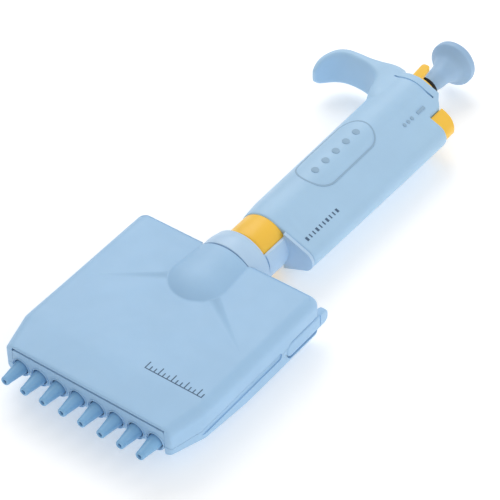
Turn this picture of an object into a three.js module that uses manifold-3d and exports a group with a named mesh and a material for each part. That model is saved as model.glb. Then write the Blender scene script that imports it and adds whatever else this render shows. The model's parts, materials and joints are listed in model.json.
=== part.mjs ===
// Eight channel pipette, lying on its back: nozzle row along X, plunger axis along Y, front face up (+Z).
// Lengths are millimetres. Inside the group Y is measured from the nozzle tips, and the group is
// shifted so that the origin is the centre of the ejector comb's lower face, on the plunger axis.
import * as THREE from "three";
import { mergeVertices, toCreasedNormals } from "three/addons/utils/BufferGeometryUtils.js";
import Module from "manifold-3d";

const wasm = await Module();
wasm.setup();

// Nozzle row
const CHANNELS = 8;
const PITCH = 9;
const NOZZLE_TIP_R = 1.75;
const NOZZLE_BASE_R = 2.9;
const NOZZLE_BORE_R = 0.85;
const COMB_FACE = 9.5;
const COMB_TOP = 12.5;
const COMB_HALF = 35.2;
const COMB_HOLE_R = 3.3;
const BLOCK_FLOOR = 13.6;

// Head casing
const HEAD_HALF = 42.5;
const HEAD_FOOT_HALF = 38.6;
const CHAMFER_TOP = 25;
const SHOULDER = 96.2;
const HEAD_THICK = 20;
const HEAD_EDGE = 3.5;
const HEAD_WALL = 1.3;
const CAVITY_HALF = 40.2;
const FRONT_TAPER_TOP = 27;
const FRONT_FOOT_Z = 8.3;
const REAR_TAPER_TOP = 50;
const REAR_FOOT_Z = -4.8;
const PART_LINE = -0.5;
const DOME_R = 14.2;
const DOME_CENTRE = 78.5;
const DOME_END = 93;
const BULGE_HALF = 12.2;
const BULGE_CENTRE = 77;
const HEAD_CORNER_R = 4;
const BACK_FLAT = 13.2;
const SCREW_SEAT = -8.6;

// Swivel, neck and collar
const NECK_R = 11.2;
const NECK_END = 61;
const NECK_STEP = 72.8;
const JOURNAL_R = 7;
const SPRING_FLOOR = 75;
const COLLAR_R = 14.6;
const COLLAR_TOP = 103;
const COLLAR_BORE_R = 12.85;
const SPIGOT_R = 10.2;
const SPIGOT_TOP = 134;

// Handle
const HANDLE_BASE = 118;
const HANDLE_RIM = 221.5;
const HANDLE_R = 13.2;
const HANDLE_BASE_R = 12.3;
const BARREL_BORE_R = 10.8;
const WEB_X = 19;
const WEB_R = 5.3;
const WEB_TOP = 209;
const BUTTON_TOP = 218.6;
const ARM_R = 12.5;
const ARM_HALF = 6.5;
const ARM_LOW = 96;
const HOOK_HALF = 8.5;

// Piston drive
const PISTON_R = 1;
const CARRIER_FLOOR = 52;
const CARRIER_TOP = 56;
const CAP_TOP = 59.5;
const GUIDE_X = 35.9;
const ROD_R = 2.5;
const STEM_R = 4.5;
const STEM_END = 200;
const KNOB_TOP = 256.6;
const RETURN_SEAT = 27;
const PLUNGER_STOP = 116;
const BLOWOUT_SEAT = 150;
const EJECTOR_SEAT = 140;
const EJECTOR_STOP = 168;

// Volume setting
const SCREW_R = 5.6;
const COUNTER_R = 7.3;
const COUNTER_BORE_R = 5.9;
const PINION_X = 8.8;
const DIGIT_HEIGHT = 4.5;
const DIGIT_PITCH = 4.9;
const DIGIT_LOW = 188.5;

const RUN = 0.3;
const FACETS = 28;
const CREASE = 0.6;

const BODY_BLUE = 0xa5caea;
const HANDLE_BLUE = 0xaed0ec;
const PALE_BLUE = 0xbad6f0;
const NOZZLE_BLUE = 0x86b6dc;
const KNOB_BLUE = 0x9fbfde;
const YELLOW = 0xffca4c;
const BLACK = 0x1c1d20;
const WHITE = 0xe9ebee;
const STEEL = 0xb9bdc2;
const SPRING_STEEL = 0x9ca1a8;
const CLEAR = 0xdfe8ee;

function plastic(color, roughness = 0.5) {
  return new THREE.MeshStandardMaterial({ color, roughness, metalness: 0 });
}

function metal(color, roughness = 0.3) {
  return new THREE.MeshStandardMaterial({ color, roughness, metalness: 1 });
}

function solid(geometry) {
  const bare = geometry.clone();
  bare.deleteAttribute("normal");
  bare.deleteAttribute("uv");
  const merged = mergeVertices(bare, 1e-4);
  return new wasm.Manifold(new wasm.Mesh({
    numProp: 3,
    vertProperties: new Float32Array(merged.attributes.position.array),
    triVerts: new Uint32Array(merged.index.array),
  }));
}

function finished(body) {
  const mesh = body.getMesh();
  const geometry = new THREE.BufferGeometry();
  geometry.setAttribute("position", new THREE.BufferAttribute(mesh.vertProperties, 3));
  geometry.setIndex(new THREE.BufferAttribute(mesh.triVerts, 1));
  return toCreasedNormals(geometry, CREASE);
}

function mesh(name, geometry, material) {
  const piece = new THREE.Mesh(geometry, material);
  piece.name = name;
  return piece;
}

function turned(points, facets = FACETS) {
  return new THREE.LatheGeometry(points.map((p) => new THREE.Vector2(...p)), facets);
}

function ring(inner, outer, y0, y1, facets = FACETS) {
  return turned([[outer, y0], [outer, y1], [inner, y1], [inner, y0], [outer, y0]], facets);
}

function rod(radius, y0, y1, x = 0, z = 0, facets = FACETS) {
  const geometry = new THREE.CylinderGeometry(radius, radius, y1 - y0, facets);
  return geometry.translate(x, (y0 + y1) / 2, z);
}

function box(x0, x1, y0, y1, z0, z1) {
  const geometry = new THREE.BoxGeometry(x1 - x0, y1 - y0, z1 - z0);
  return geometry.translate((x0 + x1) / 2, (y0 + y1) / 2, (z0 + z1) / 2);
}

function polygon(points) {
  return new THREE.Shape(points.map((p) => new THREE.Vector2(...p)));
}

function straight(shape, depth, curveSegments) {
  return new THREE.ExtrudeGeometry(shape, { depth, bevelEnabled: false, curveSegments });
}

function alongZ(shape, z0, z1) {
  const geometry = straight(shape, z1 - z0, 8);
  return geometry.translate(0, 0, z0);
}

function alongX(shape, x0, x1) {
  const geometry = straight(shape, x1 - x0, 5);
  return geometry.rotateY(-Math.PI / 2).translate(x1, 0, 0);
}

function alongY(shape, y0, y1) {
  const geometry = straight(shape, y1 - y0, 12);
  return geometry.rotateX(-Math.PI / 2).translate(0, y0, 0);
}

function mirrored(points) {
  return points.concat(points.slice().reverse().map(([x, y]) => [-x, y]));
}

class Helix extends THREE.Curve {
  constructor(radius, y0, y1, turns, x) {
    super();
    Object.assign(this, { radius, y0, y1, turns, x });
  }

  getPoint(t, target = new THREE.Vector3()) {
    const angle = 2 * Math.PI * this.turns * t;
    const y = this.y0 + (this.y1 - this.y0) * t;
    return target.set(this.x + this.radius * Math.cos(angle), y, this.radius * Math.sin(angle));
  }
}

function spring(radius, wire, y0, y1, turns, x = 0) {
  const section = new THREE.Shape();
  section.absarc(0, 0, wire, 0, 2 * Math.PI);
  return new THREE.ExtrudeGeometry(section, {
    steps: turns * 7,
    curveSegments: 2,
    bevelEnabled: false,
    extrudePath: new Helix(radius, y0 + wire, y1 - wire, turns, x),
  });
}

function channelXs() {
  return Array.from({ length: CHANNELS }, (_, i) => (i - (CHANNELS - 1) / 2) * PITCH);
}

// Teardrop section of the handle: the round barrel with the ejector channel beside it.
function webSection(barrelR, webR) {
  const lean = Math.asin((barrelR - webR) / WEB_X);
  const section = new THREE.Shape();
  section.absarc(0, 0, barrelR, Math.PI / 2 - lean, 1.5 * Math.PI + lean, false);
  section.absarc(WEB_X, 0, webR, lean - Math.PI / 2, Math.PI / 2 - lean, false);
  section.closePath();
  return section;
}

function hookBlade() {
  const outer = [
    [0, 224.5], [-6, 227.5], [-13, 229], [-19, 228], [-25, 227], [-31, 227],
    [-36, 226], [-40.5, 223.2], [-43.5, 218], [-44, 211],
  ];
  const inner = [
    [-41.2, 210.5], [-40.6, 215.5], [-38.5, 219.3], [-35, 221.6], [-28, 221.6],
    [-21, 220], [-15.5, 215.5], [-13.3, 209], [-12.8, 203], [0, 203],
  ];
  const halfWidths = [
    [0, 12.6], [-8, 11.6], [-14, 9.6], [-20, HOOK_HALF], [-36, HOOK_HALF], [-41, 6.8], [-44.2, 3.4],
  ];
  const plan = halfWidths.concat(halfWidths.slice().reverse().map(([x, z]) => [x, -z]));
  const side = solid(alongZ(polygon(outer.concat(inner).reverse()), -HANDLE_R, HANDLE_R));
  return side.intersect(solid(alongY(polygon(plan), 200, 230)));
}

function handleShell() {
  const barrel = turned([
    [0, HANDLE_BASE], [HANDLE_BASE_R - 0.6, HANDLE_BASE], [HANDLE_BASE_R, HANDLE_BASE + 0.6], [HANDLE_R, 204],
    [HANDLE_R, HANDLE_RIM - 1.5], [HANDLE_R - 0.6, HANDLE_RIM], [0, HANDLE_RIM],
  ]);
  const slope = polygon([[12, HANDLE_RIM], [16, 217], [16, WEB_TOP], [30, WEB_TOP], [30, 230], [12, 230]]);
  const bulge = solid(alongY(webSection(HANDLE_BASE_R, WEB_R), HANDLE_BASE, HANDLE_RIM));
  return solid(barrel)
    .add(bulge)
    .subtract(solid(alongZ(slope, -20, 20)))
    .add(hookBlade())
    .subtract(solid(rod(11.9, HANDLE_RIM, 240)))
    .subtract(solid(rod(BARREL_BORE_R, SPIGOT_TOP, 230)))
    .subtract(solid(rod(SPIGOT_R + RUN, HANDLE_BASE - 1, SPIGOT_TOP + 1)))
    .subtract(solid(rod(3.7, EJECTOR_SEAT, WEB_TOP + 1, WEB_X, 0, 20)))
    .subtract(solid(rod(2.1, HANDLE_BASE - 1, EJECTOR_SEAT + 1, WEB_X, 0, 20)))
    .subtract(buttonBlock(RUN, 194, WEB_TOP + 1))
    .subtract(solid(box(-4.2, 4.2, 187.5, 203.5, -15, -9)));
}

function buttonBlock(grow, y0, y1) {
  const section = webSection(HANDLE_BASE_R - 1 + grow, WEB_R - 1 + grow);
  return solid(alongY(section, y0, y1)).intersect(solid(box(16.4 - grow, 30, y0 - 1, y1 + 1, -10, 10)));
}

function ejectorButton() {
  const crown = turned([
    [0, 190], [12, 190], [12, 212.5], [10.5, 215.5], [7, 217.6], [0, BUTTON_TOP],
  ]).translate(14, 0, 0);
  return buttonBlock(0, 201, BUTTON_TOP).intersect(solid(crown));
}

function ejectorRod() {
  return turned([
    [0, HANDLE_BASE - RUN], [1.8, HANDLE_BASE - RUN], [1.8, EJECTOR_STOP], [3.2, EJECTOR_STOP],
    [3.2, EJECTOR_STOP + 2], [1.8, EJECTOR_STOP + 2], [1.8, 201], [0, 201],
  ], 20).translate(WEB_X, 0, 0);
}

function ejectorArm() {
  const top = HANDLE_BASE - RUN;
  const blade = solid(ring(NECK_R + RUN, ARM_R, ARM_LOW, top))
    .intersect(solid(box(0, 20, 90, 120, -ARM_HALF, ARM_HALF)));
  const foot = solid(alongY(webSection(HANDLE_BASE_R, WEB_R), top - 1.5, top))
    .intersect(solid(box(10.2, 30, 100, 120, -10, 10)))
    .subtract(solid(rod(NECK_R + RUN, 90, 120)));
  return blade.add(foot);
}

function neckTube() {
  return turned([
    [JOURNAL_R, NECK_END], [JOURNAL_R, 62], [6.2, 62], [6.2, 63.4], [JOURNAL_R, 63.4], [JOURNAL_R, NECK_STEP],
    [NECK_R, NECK_STEP], [NECK_R, HANDLE_BASE], [SPIGOT_R, HANDLE_BASE], [SPIGOT_R, SPIGOT_TOP],
    [6.5, SPIGOT_TOP], [6.5, SPRING_FLOOR], [ROD_R + RUN, SPRING_FLOOR], [ROD_R + RUN, NECK_END],
    [JOURNAL_R, NECK_END],
  ]);
}

function circlip() {
  const section = new THREE.Shape();
  section.absarc(0, 0, 8.6, 0.5, 2 * Math.PI - 0.5, false);
  section.absarc(0, 0, 6.5, 2 * Math.PI - 0.5, 0.5, true);
  section.closePath();
  return alongY(section, 62.2, 63.2);
}

function windowLens() {
  return solid(ring(11.2, 13, 187.8, 203.2, 64)).intersect(solid(box(-3.9, 3.9, 187, 204, -14, 0)));
}

function lockRing() {
  const lug = solid(alongZ(polygon([[-2.6, 222], [1.8, 222], [0.2, 233.4], [-3.4, 233.4]]), 8.2, 10.4));
  return solid(ring(COUNTER_BORE_R, 10.6, 221.8, 225.2)).add(lug);
}

function plungerKnob() {
  return turned([
    [0, STEM_END], [STEM_R, STEM_END], [STEM_R, 243], [5.2, 246], [7.2, 249], [9.8, 250.6],
    [10.1, 252], [9.3, 254.4], [6.5, 256], [3, KNOB_TOP], [0, KNOB_TOP],
  ]);
}

function plungerRod() {
  return turned([
    [0, CAP_TOP], [ROD_R, CAP_TOP], [ROD_R, PLUNGER_STOP], [5.2, PLUNGER_STOP], [5.2, PLUNGER_STOP + 2],
    [ROD_R, PLUNGER_STOP + 2],
    [ROD_R, 163], [7.5, 163], [7.5, 165.5], [ROD_R, 165.5], [ROD_R, STEM_END], [0, STEM_END],
  ], 24);
}

function volumeScrew() {
  return turned([
    [SCREW_R, 172], [SCREW_R, 205], [COUNTER_R, 205], [COUNTER_R, 207], [SCREW_R, 207], [SCREW_R, 215.5],
    [STEM_R + RUN, 215.5], [STEM_R + RUN, 172], [SCREW_R, 172],
  ]);
}

function headOutline(grow = 0) {
  const side = HEAD_HALF + grow;
  const top = SHOULDER + grow;
  const slope = (HEAD_HALF - HEAD_FOOT_HALF) / (CHAMFER_TOP - COMB_FACE);
  const low = COMB_FACE - 6;
  const outline = new THREE.Shape();
  outline.moveTo(HEAD_FOOT_HALF + grow - 6 * slope, low);
  outline.lineTo(side, CHAMFER_TOP);
  outline.lineTo(side, top - HEAD_CORNER_R);
  outline.absarc(side - HEAD_CORNER_R, top - HEAD_CORNER_R, HEAD_CORNER_R, 0, Math.PI / 2, false);
  outline.lineTo(HEAD_CORNER_R - side, top);
  outline.absarc(HEAD_CORNER_R - side, top - HEAD_CORNER_R, HEAD_CORNER_R, Math.PI / 2, Math.PI, false);
  outline.lineTo(-side, CHAMFER_TOP);
  outline.lineTo(-HEAD_FOOT_HALF - grow + 6 * slope, low);
  outline.closePath();
  return outline;
}

function domeSolid(radius, centre, end) {
  const profile = [[0, centre - radius]];
  for (let i = 1; i <= 8; i += 1) {
    const a = (Math.PI / 2) * (i / 8);
    profile.push([radius * Math.sin(a), centre - radius * Math.cos(a)]);
  }
  return turned(profile.concat([[radius, end], [0, end]]));
}

function flatBacked(body) {
  return body.intersect(solid(box(-50, 50, 0, 110, -BACK_FLAT, 20)));
}

// Low bulge over the neck on the front face: a shallow arc across, with a round nose.
function frontBulge() {
  const rise = DOME_R - HEAD_THICK / 2;
  const arcR = (BULGE_HALF * BULGE_HALF + rise * rise) / (2 * rise);
  const reach = Math.asin(BULGE_HALF / arcR);
  const arc = [];
  for (let i = 6; i >= 0; i -= 1) {
    const a = (reach * i) / 6;
    arc.push([arcR * Math.sin(a), DOME_R - arcR * (1 - Math.cos(a))]);
  }
  const nose = upright(0, BULGE_CENTRE, [[0, 8], [BULGE_HALF, 8], ...arc], FACETS);
  const half = [[BULGE_HALF, 8], ...arc.slice(0, -1)];
  const section = half.concat([[0, DOME_R]], half.slice().reverse().map(([x, z]) => [-x, z]));
  const body = alongY(polygon(section.map(([x, z]) => [x, -z])), BULGE_CENTRE, DOME_END);
  return solid(nose).add(solid(body));
}

// Side view of the head's front and rear faces, moved inward by inset; both lean in towards the nozzles.
function headProfile(inset, low, high) {
  const face = HEAD_THICK / 2;
  const frontSlope = (face - FRONT_FOOT_Z) / (FRONT_TAPER_TOP - COMB_FACE);
  const rearSlope = (face + REAR_FOOT_Z) / (REAR_TAPER_TOP - COMB_FACE);
  return polygon([
    [REAR_FOOT_Z + (COMB_FACE - low) * rearSlope + inset, low],
    [face - (FRONT_TAPER_TOP - low) * frontSlope - inset, low],
    [face - inset, FRONT_TAPER_TOP],
    [face - inset, high],
    [inset - face, high],
    [inset - face, REAR_TAPER_TOP],
  ]);
}

function headBody() {
  const slab = new THREE.ExtrudeGeometry(headOutline(), {
    depth: HEAD_THICK - 2 * HEAD_EDGE,
    bevelThickness: HEAD_EDGE,
    bevelSize: HEAD_EDGE,
    bevelOffset: -HEAD_EDGE,
    bevelSegments: 2,
    curveSegments: 4,
  }).translate(0, 0, HEAD_EDGE - HEAD_THICK / 2);
  const tapered = solid(slab).intersect(solid(alongX(headProfile(0, 0, 100), -50, 50)));
  const room = polygon(mirrored([
    [35.6, 0], [35.6, COMB_FACE], [CAVITY_HALF, CHAMFER_TOP + 0.6], [CAVITY_HALF, DOME_END],
  ]));
  const cavity = solid(alongZ(room, -HEAD_THICK, HEAD_THICK))
    .intersect(solid(alongX(headProfile(HEAD_WALL, 0, DOME_END), -50, 50)));
  const outer = tapered
    .add(flatBacked(solid(domeSolid(DOME_R, DOME_CENTRE, DOME_END))))
    .add(frontBulge());
  const domeRoom = solid(domeSolid(DOME_R - 1, DOME_CENTRE, DOME_END + 1))
    .intersect(solid(box(-20, 20, 60, 95, 0.5 - BACK_FLAT, 20)));
  const journalWall = solid(rod(12.9, 65.5, 70.5)).intersect(solid(box(-14, 14, 60, 80, -12.8, 13)));
  return outer
    .subtract(cavity)
    .subtract(domeRoom)
    .add(journalWall.intersect(outer))
    .subtract(solid(rod(8.9, 60.5, 71)))
    .subtract(solid(rod(COLLAR_R + RUN, DOME_END, 110)))
    .subtract(solid(box(-60, 60, -10, COMB_FACE, -20, 20)));
}

function screwSites() {
  return [[-30, 86], [30, 86], [-34, 66], [34, 66]];
}

function latchSlot(side) {
  const slot = solid(box(38.3, 50, 74.2, 110, -7, 0.9));
  return side < 0 ? slot.mirror([1, 0, 0]) : slot;
}

function upright(x, y, points, facets = 16) {
  return turned(points, facets).rotateX(Math.PI / 2).translate(x, y, 0);
}

function frontShell() {
  let shell = headBody().intersect(solid(box(-60, 60, 0, 120, PART_LINE, 20)));
  for (const [x, y] of screwSites()) {
    shell = shell.add(solid(upright(x, y, [[0, PART_LINE], [2.6, PART_LINE], [2.6, 9], [0, 9]])));
    shell = shell.subtract(solid(upright(x, y, [[0, -1], [1.3, -1], [1.3, 6], [0, 6]])));
  }
  return shell.subtract(latchSlot(1)).subtract(latchSlot(-1));
}

function rearShell() {
  let shell = headBody().intersect(solid(box(-60, 60, 0, 120, -20, PART_LINE)));
  for (const [x, y] of screwSites()) {
    shell = shell.add(solid(upright(x, y, [[0, -9], [3.2, -9], [3.2, PART_LINE], [0, PART_LINE]])));
    const counterbore = [[0, -11], [2.5, -11], [2.5, SCREW_SEAT], [1.3, SCREW_SEAT], [1.3, 0], [0, 0]];
    shell = shell.subtract(solid(upright(x, y, counterbore)));
  }
  const combGap = solid(box(-35.6, 35.6, 0, COMB_TOP + 0.5, -20, 0));
  return shell.subtract(combGap).subtract(latchSlot(1)).subtract(latchSlot(-1));
}

function shellScrew(x, y) {
  return upright(x, y, [[0, -9.9], [2.2, -9.9], [2.2, SCREW_SEAT], [1, SCREW_SEAT], [1, 5], [0, 5]], 12);
}

function neckCollar() {
  return flatBacked(solid(turned([
    [COLLAR_R, DOME_END], [COLLAR_R, 99], [COLLAR_R - 0.5, 102], [COLLAR_R - 1, COLLAR_TOP],
    [COLLAR_BORE_R, COLLAR_TOP], [COLLAR_BORE_R, DOME_END], [COLLAR_R, DOME_END],
  ])));
}

function swivelBush() {
  return turned([
    [8.4, 64.2], [8.4, 72.5], [JOURNAL_R + RUN, 72.5], [JOURNAL_R + RUN, 64.2], [8.4, 64.2],
  ]);
}

function sideLatch(side) {
  const tab = new THREE.Shape();
  tab.moveTo(-6.7, 74.6);
  tab.lineTo(0, 74.6);
  tab.lineTo(0, 98.2);
  tab.absarc(-3, 98.2, 3, 0, Math.PI / 2, false);
  tab.lineTo(-3.7, 101.2);
  tab.absarc(-3.7, 98.2, 3, Math.PI / 2, Math.PI, false);
  tab.closePath();
  return side < 0 ? alongX(tab, -42.3, -39) : alongX(tab, 39, 42.3);
}

function cylinderBlock() {
  const outline = polygon(mirrored([[34.9, BLOCK_FLOOR], [34.9, 22], [39, 27], [39, 38]]));
  let block = solid(alongZ(outline, -3.7, 4.5));
  for (const x of channelXs()) {
    block = block.subtract(solid(rod(1.3, BLOCK_FLOOR - 1, 39, x, 0, 12)));
    block = block.subtract(solid(rod(2.2, BLOCK_FLOOR - 1, 18, x, 0, 12)));
  }
  for (const x of [-GUIDE_X, GUIDE_X]) {
    block = block.subtract(solid(rod(2.5, RETURN_SEAT, 39, x, 0, 12)));
    block = block.subtract(solid(rod(1.8, 24, RETURN_SEAT + 1, x, 0, 12)));
  }
  return block;
}

function nozzle(x) {
  return turned([
    [NOZZLE_TIP_R, 0], [NOZZLE_BASE_R, COMB_FACE], [NOZZLE_BASE_R, 12.8], [3.6, 12.8], [3.6, BLOCK_FLOOR],
    [1.9, BLOCK_FLOOR], [1.9, 18], [NOZZLE_BORE_R, 18], [NOZZLE_BORE_R, 0], [NOZZLE_TIP_R, 0],
  ], 16).translate(x, 0, 0);
}

function piston(x) {
  return turned([
    [0, 33.5], [PISTON_R, 33.5], [PISTON_R, CARRIER_TOP], [2.2, CARRIER_TOP], [2.2, 57.5], [0, 57.5],
  ], 12).translate(x, 0, 0);
}

function pistonCarrier() {
  let bar = solid(box(-38.4, 38.4, CARRIER_FLOOR, CARRIER_TOP, -4.5, 4.5));
  for (const x of channelXs()) {
    bar = bar.subtract(solid(rod(PISTON_R + RUN, 50, 58, x, 0, 12)));
  }
  for (const x of [-GUIDE_X, GUIDE_X]) {
    bar = bar.subtract(solid(rod(1.8, 50, 58, x, 0, 12)));
  }
  return bar;
}

function carrierCap() {
  return box(-34, 34, 57.5, CAP_TOP, -4.5, 4.5);
}

function returnSpring(x) {
  return spring(2.05, 0.3, RETURN_SEAT, CARRIER_FLOOR, 7, x);
}

function ejectorComb() {
  let comb = solid(box(-COMB_HALF, COMB_HALF, COMB_FACE, COMB_TOP, -2.4, 6.4));
  for (const x of channelXs()) {
    const scallop = solid(rod(4.2, COMB_FACE, COMB_TOP, x, 0, 24));
    comb = comb.add(scallop.intersect(solid(box(-COMB_HALF, COMB_HALF, 0, 20, -5, 3))));
  }
  for (const x of channelXs()) {
    comb = comb.subtract(solid(rod(COMB_HOLE_R, 9, 13, x, 0, 16)));
  }
  return comb;
}

function ejectorFrame() {
  const plate = polygon(mirrored([[34.6, COMB_TOP], [34.6, 60], [20, 64], [20, 86]]));
  return solid(alongZ(plate, 5, 6.4))
    .subtract(solid(box(-14.6, 14.6, 60.4, 77.2, 4, 8)))
    .subtract(solid(rod(NECK_R + RUN, 70, 90)))
    .add(solid(ring(NECK_R + RUN, 12.4, 82.5, 95.7)));
}

function handlePieces() {
  return [
    mesh("handle_shell", finished(handleShell()), plastic(HANDLE_BLUE, 0.45)),
    mesh("handle_top_cap", ring(COUNTER_BORE_R, BARREL_BORE_R - RUN, 210, 221.2), plastic(HANDLE_BLUE, 0.5)),
    mesh("window_lens", finished(windowLens()), plastic(CLEAR, 0.15)),
    mesh("neck_tube", neckTube(), plastic(YELLOW, 0.45)),
    mesh("neck_circlip", circlip(), metal(SPRING_STEEL)),
    mesh("stem_collar", ring(STEM_R + RUN, SCREW_R, 216, 231), plastic(BLACK, 0.5)),
    mesh("counter_bearing", ring(COUNTER_BORE_R, BARREL_BORE_R - RUN, 185.8, 188.2), plastic(WHITE)),
    mesh("carry_axle", rod(0.5, 188.2, 210, PINION_X, 0, 10), metal(STEEL)),
    mesh("plunger_spring", spring(4.2, 0.45, SPRING_FLOOR, PLUNGER_STOP, 9), metal(SPRING_STEEL)),
  ];
}

function digitRing(place) {
  const low = DIGIT_LOW + place * DIGIT_PITCH;
  return ring(COUNTER_BORE_R, COUNTER_R, low, low + DIGIT_HEIGHT);
}

function volumePieces() {
  return [
    mesh("volume_screw", volumeScrew(), metal(STEEL, 0.35)),
    mesh("digit_ring_ones", digitRing(0), plastic(WHITE)),
    mesh("digit_ring_tens", digitRing(1), plastic(WHITE)),
    mesh("digit_ring_hundreds", digitRing(2), plastic(WHITE)),
    mesh("carry_pinion_1", ring(0.8, 1.3, 191.2, 195.2, 12).translate(PINION_X, 0, 0), plastic(BLACK)),
    mesh("carry_pinion_2", ring(0.8, 1.3, 196.2, 200.2, 12).translate(PINION_X, 0, 0), plastic(BLACK)),
    mesh("stop_nut", ring(COUNTER_BORE_R, 10.4, 176, 181), metal(STEEL, 0.4)),
    mesh("volume_lock_ring", finished(lockRing()), plastic(YELLOW, 0.4)),
  ];
}

function plungerPieces() {
  return [
    mesh("plunger_knob", plungerKnob(), plastic(KNOB_BLUE, 0.45)),
    mesh("plunger_rod", plungerRod(), metal(STEEL, 0.25)),
    mesh("blowout_washer", ring(ROD_R + RUN, 8, BLOWOUT_SEAT, BLOWOUT_SEAT + 1.7), metal(STEEL)),
    mesh("blowout_spring", spring(6.8, 0.7, SPIGOT_TOP, BLOWOUT_SEAT, 5), metal(SPRING_STEEL)),
  ];
}

function ejectorPieces() {
  return [
    mesh("ejector_button", finished(ejectorButton()), plastic(YELLOW, 0.4)),
    mesh("ejector_rod", ejectorRod(), metal(STEEL)),
    mesh("ejector_arm", finished(ejectorArm()), plastic(PALE_BLUE, 0.45)),
    mesh("ejector_spring", spring(2.75, 0.4, EJECTOR_SEAT, EJECTOR_STOP, 8, WEB_X), metal(SPRING_STEEL)),
    mesh("ejector_frame", finished(ejectorFrame()), plastic(PALE_BLUE, 0.5)),
    mesh("ejector_comb", finished(ejectorComb()), plastic(BODY_BLUE, 0.5)),
  ];
}

function headPieces() {
  const pieces = [
    mesh("head_front_shell", finished(frontShell()), plastic(BODY_BLUE, 0.45)),
    mesh("head_rear_shell", finished(rearShell()), plastic(BODY_BLUE, 0.45)),
    mesh("neck_collar", finished(neckCollar()), plastic(PALE_BLUE, 0.4)),
    mesh("swivel_bush", swivelBush(), plastic(WHITE)),
    mesh("cylinder_block", finished(cylinderBlock()), plastic(WHITE)),
    mesh("side_latch_left", sideLatch(-1), plastic(BODY_BLUE)),
    mesh("side_latch_right", sideLatch(1), plastic(BODY_BLUE)),
    mesh("guide_pin_left", rod(1.5, 24, 60.5, -GUIDE_X, 0, 16), metal(STEEL)),
    mesh("guide_pin_right", rod(1.5, 24, 60.5, GUIDE_X, 0, 16), metal(STEEL)),
    mesh("return_spring_left", returnSpring(-GUIDE_X), metal(SPRING_STEEL)),
    mesh("return_spring_right", returnSpring(GUIDE_X), metal(SPRING_STEEL)),
  ];
  screwSites().forEach(([x, y], i) => {
    pieces.push(mesh(`shell_screw_${i + 1}`, shellScrew(x, y), metal(STEEL)));
  });
  channelXs().forEach((x, i) => {
    pieces.push(mesh(`nozzle_${i + 1}`, nozzle(x), plastic(NOZZLE_BLUE, 0.4)));
  });
  return pieces;
}

function carriagePieces() {
  const pieces = [
    mesh("piston_carrier", finished(pistonCarrier()), plastic(WHITE)),
    mesh("carrier_cap", carrierCap(), metal(STEEL, 0.4)),
  ];
  channelXs().forEach((x, i) => {
    pieces.push(mesh(`piston_${i + 1}`, piston(x), metal(STEEL, 0.2)));
  });
  return pieces;
}

function pipette() {
  const pieces = new THREE.Group();
  pieces.position.y = -COMB_FACE;
  pieces.add(...handlePieces(), ...volumePieces(), ...plungerPieces(), ...ejectorPieces());
  pieces.add(...headPieces(), ...carriagePieces());
  const part = new THREE.Group();
  part.name = "multichannel_pipette";
  part.add(pieces);
  return part;
}

export default pipette();
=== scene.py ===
"""Eight channel pipette lying on its back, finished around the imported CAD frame.

Shapes are drawn in millimetres, with Y measured from the nozzle tips, and each finished piece is
moved into the frame in metres.
"""
import json
import math

import bmesh
import bpy
from mathutils import Matrix, Vector


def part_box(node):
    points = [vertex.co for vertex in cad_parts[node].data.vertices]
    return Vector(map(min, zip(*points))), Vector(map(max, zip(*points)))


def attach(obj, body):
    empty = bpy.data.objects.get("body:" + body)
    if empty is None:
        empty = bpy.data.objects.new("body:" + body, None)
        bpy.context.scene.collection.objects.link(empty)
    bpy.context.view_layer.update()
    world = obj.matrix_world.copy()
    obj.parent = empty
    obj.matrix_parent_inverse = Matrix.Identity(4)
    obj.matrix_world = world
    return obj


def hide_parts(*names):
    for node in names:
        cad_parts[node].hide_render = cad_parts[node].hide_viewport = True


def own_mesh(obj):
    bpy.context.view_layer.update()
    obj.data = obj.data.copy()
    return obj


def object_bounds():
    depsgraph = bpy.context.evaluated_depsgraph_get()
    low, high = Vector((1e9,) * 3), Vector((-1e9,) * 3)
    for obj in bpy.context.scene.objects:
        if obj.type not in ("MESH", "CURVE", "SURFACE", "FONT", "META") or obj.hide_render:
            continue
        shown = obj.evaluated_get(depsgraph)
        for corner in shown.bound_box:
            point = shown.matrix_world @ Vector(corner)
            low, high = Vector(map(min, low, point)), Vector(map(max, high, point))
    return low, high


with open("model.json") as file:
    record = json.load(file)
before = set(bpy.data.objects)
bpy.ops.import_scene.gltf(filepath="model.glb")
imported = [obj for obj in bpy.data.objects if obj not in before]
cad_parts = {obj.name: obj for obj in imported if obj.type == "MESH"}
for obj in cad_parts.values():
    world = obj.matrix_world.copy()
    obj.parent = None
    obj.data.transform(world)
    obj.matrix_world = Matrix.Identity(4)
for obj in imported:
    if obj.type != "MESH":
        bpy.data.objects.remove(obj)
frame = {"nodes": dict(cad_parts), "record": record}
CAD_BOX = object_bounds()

MM = 0.001


def cad(node):
    """A CAD node's corners in millimetres, with Y measured from the nozzle tips."""
    low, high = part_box(node)
    return [(v - Vector((0, TIPS, 0))) / MM for v in (low, high)]


def cad_middle(node):
    """The middle of a CAD node's box, in the same units."""
    low, high = cad(node)
    return [(a + b) / 2 for a, b in zip(low, high)]


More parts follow.
